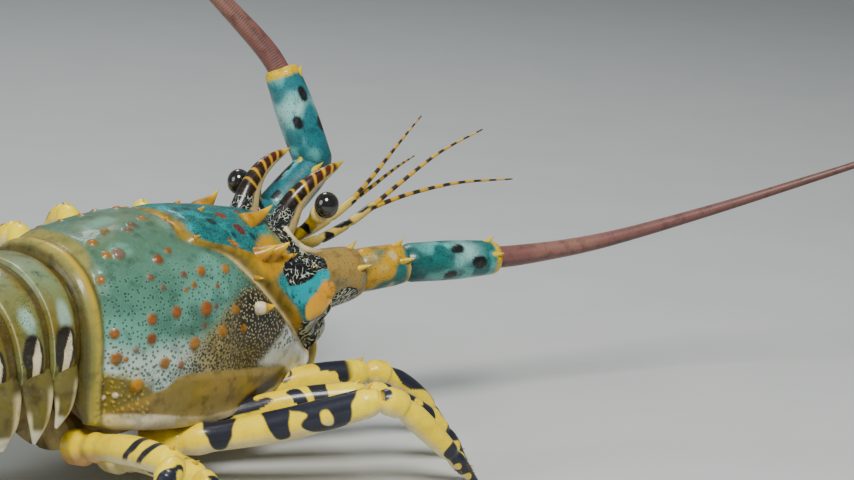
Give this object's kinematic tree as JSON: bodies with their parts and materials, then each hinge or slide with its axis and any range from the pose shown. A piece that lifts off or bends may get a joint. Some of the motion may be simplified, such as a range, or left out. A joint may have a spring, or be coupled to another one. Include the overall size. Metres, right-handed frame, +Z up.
{
  "type": "spiny lobster, life-size display model",
  "caption": "Whole spiny lobster standing on its legs, spiny two-part carapace, one long antenna forward and one raised back, tail fan spread.",
  "frame": {"origin": "bottom centre of the whole model's box, on the floor under it", "axes": "+X to the head, +Y to the animal's left, +Z up"},
  "size_m": [0.563, 0.3888, 0.3115],
  "materials": {
    "shell": "glossy wet shell, teal with orange spots, ochre below",
    "tail_shell": "glossy olive-brown shell with cream marks",
    "horn": "near-black horn banded in cream",
    "eye": "polished black",
    "antenna": "glossy turquoise shell with black marks",
    "flagellum": "satin pink-brown, darker to the tip",
    "leg": "glossy yellow with blue-black bands",
    "underside": "satin pale tan"
  },
  "bodies": {
    "root": {"thorax_shield": "shell", "head_shield": "shell", "sternum_plate": "underside", "frontal_horn_right": "horn", "frontal_horn_left": "horn", "antennular_plate": "antenna", "mouth_plate": "shell", "jaws": "underside", "eyestalk_right": "leg", "eyestalk_left": "leg", "eye_right": "eye", "eye_left": "eye", "antenna_base_right": "antenna", "antenna_middle_right": "antenna", "antenna_outer_right": "antenna", "antenna_whip_near_right": "flagellum", "antenna_whip_far_right": "flagellum", "antenna_base_left": "antenna", "antenna_middle_left": "antenna", "antenna_outer_left": "antenna", "antenna_whip_near_left": "flagellum", "antenna_whip_far_left": "flagellum", "antennule_stem_right": "leg", "antennule_whips_right": "leg", "antennule_stem_left": "leg", "antennule_whips_left": "leg", "feeding_leg_right": "leg", "feeding_leg_left": "leg", "leg_1_thigh_right": "leg", "leg_1_shin_right": "leg", "leg_1_thigh_left": "leg", "leg_1_shin_left": "leg", "leg_2_thigh_right": "leg", "leg_2_shin_right": "leg", "leg_2_thigh_left": "leg", "leg_2_shin_left": "leg", "leg_3_thigh_right": "leg", "leg_3_shin_right": "leg", "leg_3_thigh_left": "leg", "leg_3_shin_left": "leg", "leg_4_thigh_right": "leg", "leg_4_shin_right": "leg", "leg_4_thigh_left": "leg", "leg_4_shin_left": "leg", "leg_5_thigh_right": "leg", "leg_5_shin_right": "leg", "leg_5_thigh_left": "leg", "leg_5_shin_left": "leg", "abdomen_1": "tail_shell", "abdomen_2": "tail_shell", "abdomen_3": "tail_shell", "abdomen_4": "tail_shell", "abdomen_5": "tail_shell", "abdomen_6": "tail_shell", "telson": "tail_shell", "uropod_inner_right": "tail_shell", "uropod_outer_right": "tail_shell", "uropod_inner_left": "tail_shell", "uropod_outer_left": "tail_shell"}
  },
  "joints": []
}
